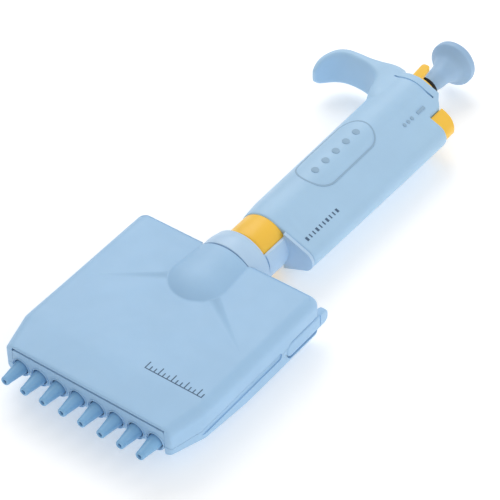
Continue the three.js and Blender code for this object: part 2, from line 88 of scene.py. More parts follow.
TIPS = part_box("nozzle_1")[0].y
BACK_FLAT = cad("head_rear_shell")[0].z
HEAD_HALF = cad("head_front_shell")[1].x
HEAD_FACE = cad("ejector_comb")[0].y
SHOULDER = cad("head_front_shell")[1].y
COLLAR_LOW, COLLAR_TOP = cad("neck_collar")[0].y, cad("neck_collar")[1].y
COLLAR_R = cad("neck_collar")[1].x
NECK_R = cad("neck_tube")[1].x
HANDLE_LOW = cad("handle_shell")[0].y
WEB_X = cad_middle("ejector_rod")[0]
BUTTON_LOW, BUTTON_TOP = cad("ejector_button")[0].y, cad("ejector_button")[1].y
KNOB_TOP = cad("plunger_knob")[1].y
CHANNELS = sum(1 for name in frame["nodes"] if name.startswith("nozzle_"))
CHANNEL_XS = [cad_middle(f"nozzle_{i + 1}")[0] for i in range(CHANNELS)]
SLOTS = {part["node"]: part["material_slot"] for part in frame["record"]["subparts"]}
SCREWS = [cad_middle(f"shell_screw_{i + 1}")[:2] for i in range(4)]

HEAD_FOOT_HALF = 38.6  # half width of the head at the nozzles
FLANK_Y = 25  # where its sides turn straight
FACE_Z = 10  # height of its flat front, and depth of its flat rear
FRONT_FOOT_Z, FRONT_BEND_Y = 8.3, 27  # the front at the nozzles, and where it starts to fall to it
REAR_FOOT_Z, REAR_BEND_Y = 4.8, 50  # the same for the rear
DOME_R, DOME_NOSE_Y = 14.2, 78.5  # the domes over the neck, and the middle of their round nose
COMB_HALF = 35.4
LATCH_LOW, LATCH_TOP, LATCH_REAR = 74.7, 101.2, -6.7
HANDLE_RIM = 221.5  # plane under the top cap
HANDLE_BASE_R = 12.3
WEB_TOP = 209  # end of the ridge over the ejector's channel
BUTTON_INNER_R, BUTTON_OUTER_R = 11.5, 5.1  # the two curves of the ejector button's outline


# Mesh tools


def link(name, mesh):
    obj = bpy.data.objects.new(name, mesh)
    bpy.context.scene.collection.objects.link(obj)
    return obj


def from_bmesh(name, bm):
    bmesh.ops.recalc_face_normals(bm, faces=bm.faces)
    mesh = bpy.data.meshes.new(name)
    bm.to_mesh(mesh)
    bm.free()
    return link(name, mesh)


def loft(name, rings, close_ends=True, closed=False):
    """Skins rings of equal point count; a ring may also be a single point."""
    bm = bmesh.new()
    loops = [[bm.verts.new(p) for p in ring] for ring in rings]
    pairs = list(zip(loops, loops[1:])) + ([(loops[-1], loops[0])] if closed else [])
    for a, b in pairs:
        count = max(len(a), len(b))
        for i in range(count):
            j = (i + 1) % count
            corners = [a[i % len(a)], a[j % len(a)], b[j % len(b)], b[i % len(b)]]
            corners = list(dict.fromkeys(corners))
            if len(corners) > 2:
                bm.faces.new(corners)
    if close_ends and not closed:
        for loop in (loops[0], loops[-1]):
            if len(loop) > 2:
                bm.faces.new(loop)
    return from_bmesh(name, bm)


def filleted(points, steps=4, closed=True):
    """Rounds polygon corners. Each point is (u, v) or (u, v, radius)."""
    result = []
    count = len(points)
    for i, point in enumerate(points):
        radius = point[2] if len(point) > 2 else 0
        here = Vector(point[:2])
        if radius <= 0 or (not closed and i in (0, count - 1)):
            result.append(here)
            continue
        back = Vector(points[i - 1][:2]) - here
        ahead = Vector(points[(i + 1) % count][:2]) - here
        half = back.angle(ahead) / 2
        reach = min(radius / math.tan(half), back.length * 0.49, ahead.length * 0.49)
        radius = reach * math.tan(half)
        inward = (back.normalized() + ahead.normalized()).normalized()
        middle = here + inward * (radius / math.sin(half))
        start = here + back.normalized() * reach - middle
        end = here + ahead.normalized() * reach - middle
        sweep = start.angle_signed(end)
        for k in range(steps + 1):
            turn = Matrix.Rotation(-sweep * k / steps, 2)
            result.append(middle + turn @ start)
    return result


def turned(name, profile, centre=(0, 0), segments=72, steps=4):
    """Revolves an (r, y, fillet) profile about a line along Y, at centre in XZ.

    A profile that starts off the axis is a closed loop.
    """
    on_axis = profile[0][0] == 0
    points = filleted(profile, steps, closed=not on_axis)
    angles = [2 * math.pi * i / segments for i in range(segments)]
    rings = []
    for r, y in points:
        if r < 1e-6:
            rings.append([(centre[0], y, centre[1])])
            continue
        rings.append([(centre[0] + r * math.cos(a), y, centre[1] + r * math.sin(a)) for a in angles])
    return loft(name, rings, close_ends=False, closed=not on_axis)


def prism(name, outline, low, high, axis="z"):
    """Straight body with an outline in XY (axis z), XZ (axis y) or YZ (axis x)."""
    place = {
        "z": lambda u, v, w: (u, v, w),
        "y": lambda u, v, w: (u, w, v),
        "x": lambda u, v, w: (w, u, v),
    }[axis]
    return loft(name, [[place(u, v, w) for u, v in outline] for w in (low, high)])


def block(x, y, z, radius=0, axis="z"):
    """Box with its edges along one axis rounded."""
    spans = {"z": (x, y, z), "y": (x, z, y), "x": (y, z, x)}[axis]
    (u0, u1), (v0, v1), (w0, w1) = spans
    corners = [(u0, v0, radius), (u1, v0, radius), (u1, v1, radius), (u0, v1, radius)]
    return prism("block", filleted(corners, 6), w0, w1, axis)


def applied(obj):
    """Applies the object's modifiers."""
    graph = bpy.context.evaluated_depsgraph_get()
    mesh = bpy.data.meshes.new_from_object(obj.evaluated_get(graph))
    obj.modifiers.clear()
    old = obj.data
    obj.data = mesh
    bpy.data.meshes.remove(old)
    return obj


def drop(obj):
    mesh = obj.data
    bpy.data.objects.remove(obj)
    bpy.data.meshes.remove(mesh)


def combined(obj, *others, how="DIFFERENCE"):
    for other in others:
        step = obj.modifiers.new("combine", "BOOLEAN")
        step.operation = how
        step.solver = "EXACT"
        step.object = other
        applied(obj)
        drop(other)
    return obj


def united(obj, *others):
    return combined(obj, *others, how="UNION")


def cut(obj, *others):
    return combined(obj, *others)


def kept_inside(obj, other):
    return combined(obj, other, how="INTERSECT")


def melted(obj, size, passes):
    """Joins overlapping forms into one skin and eases the creases between them."""
    remesh = obj.modifiers.new("skin", "REMESH")
    remesh.mode = "VOXEL"
    remesh.voxel_size = size
    remesh.use_smooth_shade = True
    ease = obj.modifiers.new("ease", "SMOOTH")
    ease.factor = 0.5
    ease.iterations = passes
    return applied(obj)


def joined(name, *objects):
    """Puts several shapes into one mesh without merging them."""
    bm = bmesh.new()
    for obj in objects:
        bm.from_mesh(obj.data)
        drop(obj)
    mesh = bpy.data.meshes.new(name)
    bm.to_mesh(mesh)
    bm.free()
    return link(name, mesh)


def softened(obj, width, segments, angle):
    """Rounds the edges that are sharper than an angle in degrees."""
    bevel = obj.modifiers.new("edge", "BEVEL")
    bevel.width = width
    bevel.segments = segments
    bevel.limit_method = "ANGLE"
    bevel.angle_limit = math.radians(angle)
    return applied(obj)


def sliced(obj, axis, places):
    """Splits an object's faces along planes square to one axis."""
    normal = Vector([1 if k == axis else 0 for k in range(3)])
    bm = bmesh.new()
    bm.from_mesh(obj.data)
    for place in places:
        parts = bm.verts[:] + bm.edges[:] + bm.faces[:]
        bmesh.ops.bisect_plane(bm, geom=parts, plane_co=normal * place, plane_no=normal)
    bm.to_mesh(obj.data)
    bm.free()
    return obj


def upright(obj, x, y, z):
    """Stands a shape turned about Y on the Z axis, its -Y end facing down."""
    obj.data.transform(Matrix.Translation((x, y, z)) @ Matrix.Rotation(math.pi / 2, 4, "X"))
    return obj


def smooth(obj, angle):
    """Shades smoothly across every edge flatter than an angle in degrees."""
    mesh = obj.data
    mesh.polygons.foreach_set("use_smooth", [True] * len(mesh.polygons))
    bm = bmesh.new()
    bm.from_mesh(mesh)
    limit = math.radians(angle)
    for edge in bm.edges:
        if len(edge.link_faces) == 2:
            edge.smooth = edge.calc_face_angle(0) < limit
    bm.to_mesh(mesh)
    bm.free()
    return obj


def placed(obj, name, body, material, *nodes, angle=35):
    """Moves a finished shape into the frame and hands it to its body, in place of its CAD nodes."""
    smooth(obj, angle)
    obj.data.transform(Matrix.Translation((0, TIPS, 0)) @ Matrix.Scale(MM, 4))
    obj.name = name
    obj.data.name = name
    obj.data.materials.clear()
    obj.data.materials.append(material)
    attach(obj, body)
    if nodes:
        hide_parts(*nodes)
    return obj


# Materials


# Sockets of a colour mix node
MIX_FACTOR, MIX_FIRST, MIX_SECOND, MIX_RESULT = 0, 6, 7, 2


class Graph:
    """Small helper for building a shader node tree."""

    def __init__(self, name):
        self.material = bpy.data.materials.new(name)
        self.material.use_nodes = True
        self.nodes = self.material.node_tree.nodes
        self.links = self.material.node_tree.links
        self.shader = self.nodes["Principled BSDF"]

    def add(self, kind, **inputs):
        node = self.nodes.new(kind)
        for key, value in inputs.items():
            if key in node.inputs:
                node.inputs[key].default_value = value
            else:
                setattr(node, key, value)
        return node

    def wire(self, source, output, target, socket):
        self.links.new(source.outputs[output], target.inputs[socket])

    def noise(self, scale, detail=3, roughness=0.55, stretch=(1, 1, 1)):
        coords = self.add("ShaderNodeTexCoord")
        mapping = self.add("ShaderNodeMapping", Scale=stretch)
        noise = self.add("ShaderNodeTexNoise", Scale=scale, Detail=detail, Roughness=roughness)
        self.wire(coords, "Object", mapping, "Vector")
        self.wire(mapping, "Vector", noise, "Vector")
        return noise

    def ranged(self, source, low, high):
        """Stretches the middle of a noise over a range."""
        ramp = self.add("ShaderNodeMapRange")
        ramp.inputs["From Min"].default_value = 0.3
        ramp.inputs["From Max"].default_value = 0.7
        ramp.inputs["To Min"].default_value = low
        ramp.inputs["To Max"].default_value = high
        self.wire(source, "Fac", ramp, "Value")
        return ramp

    def mixed(self, factor, first, second):
        mix = self.add("ShaderNodeMix", data_type="RGBA")
        mix.inputs[MIX_FIRST].default_value = (*first, 1)
        mix.inputs[MIX_SECOND].default_value = (*second, 1)
        self.wire(factor, 0, mix, MIX_FACTOR)
        return mix

    def colored(self, mix):
        self.wire(mix, MIX_RESULT, self.shader, "Base Color")


def linear(color):
    """A display colour as linear light."""
    return tuple(c / 12.92 if c <= 0.04045 else ((c + 0.055) / 1.055) ** 2.4 for c in color)


def shade(color, amount):
    return tuple(min(1, c * amount) for c in color)


def moulded(name, color, roughness, grain=0.05, sheen=0.3, scatter=0.08):
    """Injection moulded plastic: faint flow clouding, fine spark grain and uneven gloss."""
    g = Graph(name)
    base = linear(color)
    clouds = g.noise(55, 4)
    flow = g.noise(14, 2, 0.5, (1, 0.35, 1))
    tint = g.mixed(g.ranged(clouds, 0, 1), shade(base, 0.97), shade(base, 1.02))
    broad = g.add("ShaderNodeMix", data_type="RGBA", blend_type="MULTIPLY")
    broad.inputs[MIX_FACTOR].default_value = 0.35
    pale = g.mixed(g.ranged(flow, 0, 1), (0.94, 0.96, 0.98), (1, 1, 1))
    g.wire(tint, MIX_RESULT, broad, MIX_FIRST)
    g.wire(pale, MIX_RESULT, broad, MIX_SECOND)
    g.colored(broad)
    gloss = g.noise(120, 5)
    g.wire(g.ranged(gloss, roughness - 0.05, roughness + 0.06), 0, g.shader, "Roughness")
    fine = g.noise(2600, 2)
    bump = g.add("ShaderNodeBump", Strength=grain, Distance=0.00005)
    g.wire(fine, "Fac", bump, "Height")
    g.wire(bump, "Normal", g.shader, "Normal")
    g.shader.inputs["Specular IOR Level"].default_value = sheen
    g.shader.inputs["Subsurface Weight"].default_value = scatter
    g.shader.inputs["Subsurface Scale"].default_value = 0.002
    g.shader.inputs["Subsurface Radius"].default_value = (0.7, 0.85, 1)
    return g.material


def machined(name, color, roughness=0.28):
    """Metal with fine turning marks and uneven polish."""
    g = Graph(name)
    base = linear(color)
    marks = g.noise(220, 4, 0.6, (1, 60, 1))
    tint = g.mixed(g.ranged(marks, 0, 1), shade(base, 0.85), shade(base, 1.08))
    g.colored(tint)
    g.wire(g.ranged(marks, roughness - 0.08, roughness + 0.1), 0, g.shader, "Roughness")
    bump = g.add("ShaderNodeBump", Strength=0.12, Distance=0.00002)
    g.wire(marks, "Fac", bump, "Height")
    g.wire(bump, "Normal", g.shader, "Normal")
    g.shader.inputs["Metallic"].default_value = 1
    return g.material


def clear_lens(name):
    """Clear plastic with a faint haze."""
    g = Graph(name)
    haze = g.noise(300, 3)
    g.wire(g.ranged(haze, 0.04, 0.12), 0, g.shader, "Roughness")
    tint = g.mixed(g.ranged(haze, 0, 1), (0.86, 0.93, 0.96), (0.93, 0.97, 0.99))
    g.colored(tint)
    g.shader.inputs["Transmission Weight"].default_value = 0.9
    g.shader.inputs["IOR"].default_value = 1.46
    return g.material


def slot_color(name):
    found = next(m for m in frame["record"]["materials"] if m["slot"] == name)
    return tuple(found["base_color"][:3])


def make_materials():
    """One material for each slot of the record, then the two that the marks are made of."""
    plastics = {
        "body_plastic": (0.42,),
        "handle_plastic": (0.4,),
        "pale_plastic": (0.34, 0.03),
        "nozzle_plastic": (0.34, 0.03),
        "knob_plastic": (0.42,),
        "yellow_plastic": (0.36, 0.03),
        "black_plastic": (0.5, 0.08, 0.3, 0),
        "white_plastic": (0.45,),
    }
    made = {name: moulded(name, slot_color(name), *finish) for name, finish in plastics.items()}
    made["steel"] = machined("steel", slot_color("steel"))
    made["spring_steel"] = machined("spring_steel", slot_color("spring_steel"), 0.35)
    made["window"] = clear_lens("window")
    # The raised marks on the handle (badge line, dots, studs) are the handle's colour painted darker:
    # painted shade standing in for the shade along the handle's sunk lines.
    painted_shade_color = tuple(0.88 * c for c in slot_color("handle_plastic"))
    made["embossed_painted_shade"] = moulded("embossed_painted_shade", painted_shade_color, 0.5, 0.03, 0.2, 0)
    made["print"] = moulded("print", (0.33, 0.42, 0.52), 0.6, 0.02, 0.2, 0)
    return made


# Head


def head_ring(inset, z):
    """Outline of the head moved inward by inset, at height z."""
    side = HEAD_HALF - inset
    top = SHOULDER - inset
    corner = max(0.5, 3.8 - 0.6 * inset)
    foot = (HEAD_FOOT_HALF - inset, HEAD_FACE + 0.12 * inset, 1.4)
    right = [foot, (side, FLANK_Y, 6), (side, top, corner)]
    left = [(-u, v, *r) for u, v, *r in reversed(right)]
    return [(u, v, z) for u, v in filleted(right + left, 6)]


def eased(y, bend, slope):
    """Zero past the bend and growing with a slope before it, with the kink rounded off."""
    width = 3
    reach = bend - y
    if reach <= -width:
        return 0
    if reach >= width:
        return slope * reach
    return slope * (reach + width) ** 2 / (4 * width)


def leaned(obj):
    """Draws the front and rear faces of the head in towards the nozzles, evenly through its depth."""
    # Closer together where a face bends
    places = [12, 16, 20, 23, 24.5, 26, 27, 28, 29.5, 31, 36, 41, 45, 47, 48.5, 50, 51.5, 53]
    front_slope = (FACE_Z - FRONT_FOOT_Z) / (FRONT_BEND_Y - HEAD_FACE)
    rear_slope = (FACE_Z - REAR_FOOT_Z) / (REAR_BEND_Y - HEAD_FACE)
    for vert in sliced(obj, 1, places).data.vertices:
        _, y, z = vert.co
        front = FACE_Z - eased(y, FRONT_BEND_Y, front_slope)
        rear = -FACE_Z + eased(y, REAR_BEND_Y, rear_slope)
        share = (z + FACE_Z) / (2 * FACE_Z)
        vert.co.z = rear + share * (front - rear)
    obj.data.update()
    return obj


def head_slab():
    """The head's flat body, with wide rounded edges front and rear."""
    front_edge, rear_edge, steps = 4.6, 3.4, 7
    angles = [math.pi / 2 * i / steps for i in range(steps + 1)]
    rear = [(rear_edge * (1 - math.sin(a)), -FACE_Z + rear_edge * (1 - math.cos(a))) for a in angles]
    front = [(front_edge * (1 - math.sin(a)), FACE_Z - front_edge * (1 - math.cos(a))) for a in angles]
    levels = rear + front[::-1]
    return leaned(loft("slab", [head_ring(inset, z) for inset, z in levels]))


def bulge_profile(foot):
    """Section of the front bulge from its crest to where it lands on the face."""
    rise = DOME_R - FACE_Z
    arc_r = (foot ** 2 + rise ** 2) / (2 * rise)
    reach = math.asin((foot - 0.5) / arc_r)
    angles = [reach * i / 12 for i in range(13)]
    points = [(arc_r * math.sin(a), DOME_R - arc_r * (1 - math.cos(a))) for a in angles]
    start, knee = Vector(points[-1]), Vector((foot - 0.05, FACE_Z))
    landing = Vector((foot + 0.5, FACE_Z + 0.01))
    for t in (0.25, 0.5, 0.75, 1):
        points.append(tuple((1 - t) ** 2 * start + 2 * t * (1 - t) * knee + t ** 2 * landing))
    return points + [(foot + 0.5, FACE_Z - 1.2)]


def front_bulge():
    """Low bulge over the neck: a shallow arc across with a round nose, narrowing a little to the collar.

    Rows run from the crest down to the foot, first along one flank, then round the nose, then back.
    """
    foot, foot_end, centre, turns = 12.2, 10.9, 77, 28
    nose = bulge_profile(foot)
    flank = []
    for k in range(6):
        share = 1 - k / 6
        y = centre + (COLLAR_LOW - centre) * share
        flank.append([(d, y, z) for d, z in bulge_profile(foot + (foot_end - foot) * share)])
    rows = [[(-d, y, z) for d, y, z in row] for row in flank]
    for i in range(turns + 1):
        a = math.pi + math.pi * i / turns
        rows.append([(d * math.cos(a), centre + d * math.sin(a), z) for d, z in nose])
    rows += flank[::-1]
    bm = bmesh.new()
    loops = [[bm.verts.new(p) for p in row] for row in rows]
    for a, b in zip(loops, loops[1:]):
        for i in range(len(a) - 1):
            bm.faces.new((a[i], a[i + 1], b[i + 1], b[i]))
    bm.faces.new([loop[-1] for loop in loops])
    bm.faces.new(loops[0] + loops[-1][::-1])
    bmesh.ops.remove_doubles(bm, verts=bm.verts, dist=1e-4)
    return from_bmesh("dome", bm)


def nose_arc(radius, degrees):
    """Profile points on a round nose about the domes' centre, at angles from the axis."""
    angles = [math.radians(d) for d in degrees]
    return [(radius * math.sin(a), DOME_NOSE_Y - radius * math.cos(a)) for a in angles]


def back_dome():
    """Round-nosed dome on the back, cut off flat at the back."""
    arc = nose_arc(DOME_R, range(6, 91, 6))
    profile = [(0, DOME_NOSE_Y - DOME_R)] + arc + [(DOME_R, COLLAR_LOW), (0, COLLAR_LOW)]
    body = turned("back_dome", profile, segments=96)
    return kept_inside(body, block((-20, 20), (50, 110), (BACK_FLAT, -5)))


def head_cavity():
    """The room inside the shells, open towards the comb."""
    right = [(35.5, 0), (35.5, HEAD_FACE), (40.2, 25.6), (40.2, 93)]
    left = [(-x, y) for x, y in reversed(right)]
    return leaned(prism("cavity", right + left, -8.5, 8.5))


def side_span(side, inner, outer):
    """The lower and upper X between two distances out from the middle, on one side."""
    return sorted((side * inner, side * outer))


def edge_groove(side):
    """Long shallow channel sunk in the head's edge along the joint of the two shells."""
    outline = filleted([(22, -2.6, 1.6), (71, -2.6, 1.6), (71, 0.8, 1.6), (22, 0.8, 1.6)], 6)
    return prism("groove", outline, *side_span(side, HEAD_HALF - 0.55, HEAD_HALF + 3), "x")


def shoulder_line():
    """Thin line sunk in the front shell's rounded edge along the shoulder and round its corners."""
    outer, inner = [prism("line", [(u, v) for u, v, _ in head_ring(inset, 0)], low, high)
                    for inset, low, high in ((2.3, 9.25, 12), (2.7, 8, 13))]
    return kept_inside(cut(outer, inner), block((-60, 60), (SHOULDER - 4.4, 110), (7, 13)))


def latch_slot(side):
    """The notch that a side latch lies in, open to the shoulder."""
    low, rear, front = LATCH_LOW - 0.5, LATCH_REAR - 0.3, 1.4
    outline = filleted([(low, rear, 3.6), (110, rear), (110, front), (low, front, 3.8)], 6)
    return prism("slot", outline, *side_span(side, 38.3, 50), "x")


def inner_room():
    """The space round the neck inside the domes, with the journal's narrower bore below it."""
    radius = DOME_R - 1.2
    arc = nose_arc(radius, range(53, 91, 4))
    profile = [(0, 60.5), (8.9, 60.5), (8.9, arc[0][1])] + arc + [(radius, 96), (0, 96)]
    room = turned("room", profile, segments=96)
    return kept_inside(room, block((-20, 20), (60, 100), (BACK_FLAT + 0.6, 12.9)))


def collar_seat():
    """The round opening at the head's top that the neck collar lies in."""
    low, radius = COLLAR_LOW - 0.35, COLLAR_R + 0.3
    return turned("collar_seat", [(0, low), (radius, low), (radius, 110), (0, 110)], segments=96)


def head_shell(dome, low, high, *lines):
    """Half of the head between two heights, with its dome, its inside cleared and its edge slots cut."""
    shell = cut(united(head_slab(), dome), head_cavity(), inner_room(), collar_seat())
    for side in (-1, 1):
        shell = cut(shell, edge_groove(side), latch_slot(side))
    return kept_inside(cut(shell, *lines), block((-60, 60), (0, 130), (low, high)))


def front_shell():
    return softened(head_shell(front_bulge(), -0.42, 30, shoulder_line()), 0.22, 2, 50)


def rear_shell():
    """Rear half, with the screws' recesses and an opening behind the comb."""
    shell = head_shell(back_dome(), -30, -0.58)
    for x, y in SCREWS:
        recess = turned("recess", [(0, -2), (2.6, -2), (2.6, 1.4), (0, 1.4)], segments=32)
        shell = cut(shell, upright(recess, x, y, -FACE_Z))
    shell = cut(shell, block((-35.6, 35.6), (0, 13), (-20, 0)))
    return softened(shell, 0.22, 2, 50)


def shell_screw(x, y):
    """Pan head screw with a cross recess, its head facing -Z."""
    head = [(0, -9.85), (2.2, -9.85, 0.5), (2.2, -8.6, 0.1)]
    shank = [(1, -8.6), (1, 4.4), (0.4, 5), (0, 5)]
    screw = turned("screw", head + shank, segments=32)
    for wide, tall in ((1.4, 0.22), (0.22, 1.4)):
        screw = cut(screw, block((-wide, wide), (-11, -9.3), (-tall, tall)))
    return upright(screw, x, y, 0)


def side_latch(side):
    """Rounded bar in the head's edge, with a crease across it at the shoulder."""
    outline = filleted([(LATCH_LOW, LATCH_REAR, 3.2), (LATCH_TOP, LATCH_REAR, 2.9), (LATCH_TOP, 0, 2.9),
                        (LATCH_LOW, 0, 3.2)], 7)
    bar = prism("bar", outline, *side_span(side, 39, HEAD_HALF - 0.25), "x")
    crease = block(side_span(side, HEAD_HALF - 0.65, HEAD_HALF + 1), (95.6, 96.1), (-10, 10))
    return cut(softened(bar, 0.9, 4, 50), crease)


def comb_outline():
    """Section of the comb's plate: a bar whose rear edge swells round each nozzle."""
    rear, front, swell_r, steps = -2.4, 6.5, 4.2, 12
    dip = math.asin(-rear / swell_r)
    tail = math.acos((COMB_HALF - max(CHANNEL_XS)) / swell_r)
    edge = []
    for x in sorted(CHANNEL_XS):
        first = math.pi + (tail if x == min(CHANNEL_XS) else dip)
        last = 2 * math.pi - (tail if x == max(CHANNEL_XS) else dip)
        angles = [first + (last - first) * k / steps for k in range(steps + 1)]
        edge += [(x + swell_r * math.cos(a), swell_r * math.sin(a)) for a in angles]
    corners = [edge[-1], (COMB_HALF, front, 1), (-COMB_HALF, front, 1), edge[0]]
    return edge + filleted(corners, 6, closed=False)[1:-1]


def comb():
    """Ejector comb: a plate with a swelling rear edge and a raised rim round each nozzle.

    The plate is sliced near each nozzle's middle, so that the holes leave no face with a hole in it.
    """
    plate = prism("comb", comb_outline(), HEAD_FACE, 12.5, "y")
    plate = sliced(plate, 0, [x + 0.2 for x in CHANNEL_XS])
    hole = [(0, 5), (3.3, 5), (3.3, 14), (0, 14)]
    plate = cut(plate, *[turned("hole", hole, (x, 0), 48) for x in CHANNEL_XS])
    proud, sunk = HEAD_FACE - 0.5, HEAD_FACE + 0.6
    rim = [(4, proud, 0.15), (4, sunk), (3.7, sunk), (3.7, proud, 0.1)]
    plate = united(plate, *[turned("rim", rim, (x, 0), 48) for x in CHANNEL_XS])
    plate = kept_inside(plate, block((0.02 - COMB_HALF, COMB_HALF - 0.02), (0, 20), (-5, 8)))
    return softened(plate, 0.08, 2, 50)


def nozzle(x):
    """Tip cone with a bead at its end, a flange behind the comb, a spigot and a straight bore."""
    cone = [(1.7, 0, 0.3), (1.9, 1.1, 0.4), (1.85, 1.5, 0.3), (2.9, HEAD_FACE, 0.3)]
    flange = [(2.9, 12.8, 0.1), (3.6, 12.8, 0.1), (3.6, 13.6, 0.1), (1.9, 13.6, 0.1)]
    spigot = [(1.9, 18, 0.2), (0.85, 18, 0.1)]
    bore = [(0.85, 0.5, 0.1), (1.05, 0, 0.1)]
    return turned("nozzle", cone + flange + spigot + bore, (x, 0), 48)


def neck_collar():
    """Swelling ring between the head and the neck, cut off flat at the back."""
    ring = turned("collar", [
        (COLLAR_R, COLLAR_LOW + 0.15, 0.25), (COLLAR_R - 0.1, 98.5, 5), (COLLAR_R - 0.9, COLLAR_TOP, 0.6),
        (13.3, COLLAR_TOP, 0.2), (13.15, 100, 0.3), (12.85, 98.5, 0.3), (12.85, COLLAR_LOW + 0.15, 0.1),
    ], segments=128)
    return kept_inside(ring, block((-20, 20), (80, 110), (BACK_FLAT, 20)))


# Neck and handle


def neck_tube():
    """Tube with a circlip groove and a journal below, and a spigot for the handle above."""
    journal = [(7, 61, 0.2), (7, 62, 0.1), (6.2, 62), (6.2, 63.4), (7, 63.4, 0.1), (7, 72.8, 0.2)]
    line_r = NECK_R - 0.25
    line = [(NECK_R, 104.2, 0.4), (line_r, 104.6, 0.3), (line_r, 105.2, 0.3), (NECK_R, 105.6, 0.4)]
    spigot = [(NECK_R, HANDLE_LOW, 0.2), (10.2, HANDLE_LOW), (10.2, 134, 0.3)]
    bore = [(6.5, 134, 0.3), (6.5, 75), (2.8, 75), (2.8, 61, 0.2)]
    return turned("neck", journal + [(NECK_R, 72.8, 0.3)] + line + spigot + bore, segments=128)


def web_ring(barrel_r, web_r, y):
    """Teardrop section: the barrel circle and the ejector channel's circle with straight flanks."""
    big_steps, small_steps = 64, 32
    lean = math.asin((barrel_r - web_r) / WEB_X)
    big = [math.pi / 2 - lean + (math.pi + 2 * lean) * i / big_steps for i in range(big_steps + 1)]
    small = [lean - math.pi / 2 + (math.pi - 2 * lean) * i / small_steps for i in range(small_steps + 1)]
    points = [(barrel_r * math.cos(a), y, barrel_r * math.sin(a)) for a in big]
    return points + [(WEB_X + web_r * math.cos(a), y, web_r * math.sin(a)) for a in small]


def spline(points, per_span):
    """Catmull-Rom curve through points of any length."""
    result = []
    ends = [points[0]] + list(points) + [points[-1]]
    for p0, p1, p2, p3 in zip(ends, ends[1:], ends[2:], ends[3:]):
        for k in range(per_span):
            t = k / per_span
            result.append(tuple(
                0.5 * (2 * b + (c - a) * t + (2 * a - 5 * b + 4 * c - d) * t ** 2
                       + (3 * b - a - 3 * c + d) * t ** 3)
                for a, b, c, d in zip(p0, p1, p2, p3)))
    return result + [tuple(points[-1])]


def hook():
    """Finger hook: rounded sections between its outer and inner curves, given as
    (outer x, outer y, inner x, inner y, half width)."""
    stations = [
        (2, 222.8, 1, 196, 12.4), (-4, 226.4, -8, 199, 12.2), (-9, 228.5, -12.4, 205, 11.4),
        (-14, 229, -14.2, 212, 10.2), (-19, 228.1, -17.2, 217.4, 9.2), (-25, 227, -22.6, 220.8, 8.7),
        (-31, 226.9, -29, 221.8, 8.5), (-36, 226, -34.4, 221.5, 8.5), (-40.2, 223.2, -37.8, 219.6, 8.1),
        (-43, 218, -40.2, 216.4, 7.2), (-43.9, 213.6, -41.3, 213.2, 5.6), (-43.6, 210.4, -41.9, 210.6, 2.9),
    ]
    rings = []
    count, power = 40, 0.55
    angles = [2 * math.pi * i / count for i in range(count)]
    for ox, oy, ix, iy, half in spline(stations, 5):
        outer, inner = Vector((ox, oy)), Vector((ix, iy))
        middle, reach = (outer + inner) / 2, (outer - inner) / 2
        ring = []
        for a in angles:
            c, s = math.cos(a), math.sin(a)
            point = middle + reach * math.copysign(abs(c) ** power, c)
            ring.append((point.x, point.y, math.copysign(abs(s) ** power, s) * half))
        rings.append(ring)
    return loft("hook", rings)


def button_outline(grow):
    """Outline in XZ of the ejector button, or of its pocket when it is grown."""
    left = 16.4 - grow
    points = [(x, z) for x, _, z in web_ring(BUTTON_INNER_R + grow, BUTTON_OUTER_R + grow, 0) if x > left]
    lean = math.asin((BUTTON_INNER_R - BUTTON_OUTER_R) / WEB_X)
    edge = (BUTTON_INNER_R + grow - left * math.sin(lean)) / math.cos(lean)
    return [(left, -edge)] + points + [(left, edge)]


def handle_web():
    """The handle's body with the ejector channel's ridge, sloping down to the button at its top."""
    levels = [(HANDLE_LOW, 11.4, 4.7), (HANDLE_LOW + 0.5, 11.65, 4.95), (HANDLE_LOW + 3, 11.85, 5.0),
              (HANDLE_LOW + 7, 12.25, 5.05), (HANDLE_LOW + 12, 12.4, 5.1), (150, 12.5, 5.35),
              (180, 12.8, 5.7), (205, 13.0, 5.95), (HANDLE_RIM + 1, 13.0, 5.95)]
    web = loft("web", [web_ring(barrel_r, web_r, y) for y, barrel_r, web_r in levels])
    slope = [(11.8, HANDLE_RIM + 2), (12.2, HANDLE_RIM - 0.6, 1.5), (15.9, 216.8, 3), (15.9, WEB_TOP, 0.5),
             (40, WEB_TOP), (40, 240), (11.8, 240)]
    return cut(web, prism("slope", filleted(slope, 6), -30, 30))


def handle_shell():
    """Barrel, ridge and hook in one skin, then bored and cut for what it carries."""
    barrel = turned("barrel", [
        (0, HANDLE_LOW), (HANDLE_BASE_R - 0.65, HANDLE_LOW, 0.5), (12.35, HANDLE_LOW + 8, 12),
        (13.2, 204, 60), (13.2, HANDLE_RIM, 1.4), (0, HANDLE_RIM),
    ], segments=96)
    shell = melted(joined("handle", barrel, handle_web(), hook()), 0.42, 7)
    seat = [(0, HANDLE_RIM), (11.9, HANDLE_RIM), (11.9, 240), (0, 240)]
    bores = [(0, 110), (10.5, 110), (10.5, 134), (10.8, 134), (10.8, 230), (0, 230)]
    shell = cut(shell, *[turned("bore", profile, segments=96) for profile in (seat, bores)])
    lip = turned("lip", [(12.7, 217.7, 0.2), (15, 217.7), (15, 218.6), (12.7, 218.6, 0.2)], segments=96)
    shell = cut(shell, kept_inside(lip, block((-7.5, 15), (210, 225), (1, 20))))
    pocket = prism("pocket", button_outline(0.25), 192, 230, "y")
    channel = [(0, 110), (2.1, 110), (2.1, 140), (3.7, 140), (3.7, 200), (0, 200)]
    window = block((-4.2, 4.2), (187.5, 203.5), (-15, -9))
    return cut(shell, pocket, turned("channel", channel, (WEB_X, 0), 32), window)


def ejector_button():
    """Button with the handle's outline and a turned crown that falls away outwards."""
    body = prism("button", button_outline(0), BUTTON_LOW, BUTTON_TOP, "y")
    profile = [(0, 190), (12, 190), (12, 212.5, 2), (10.3, 215.8, 6), (6.5, 217.8, 8), (0, BUTTON_TOP)]
    crown = turned("crown", profile, (14, 0), 96)
    return softened(kept_inside(body, crown), 0.8, 4, 45)


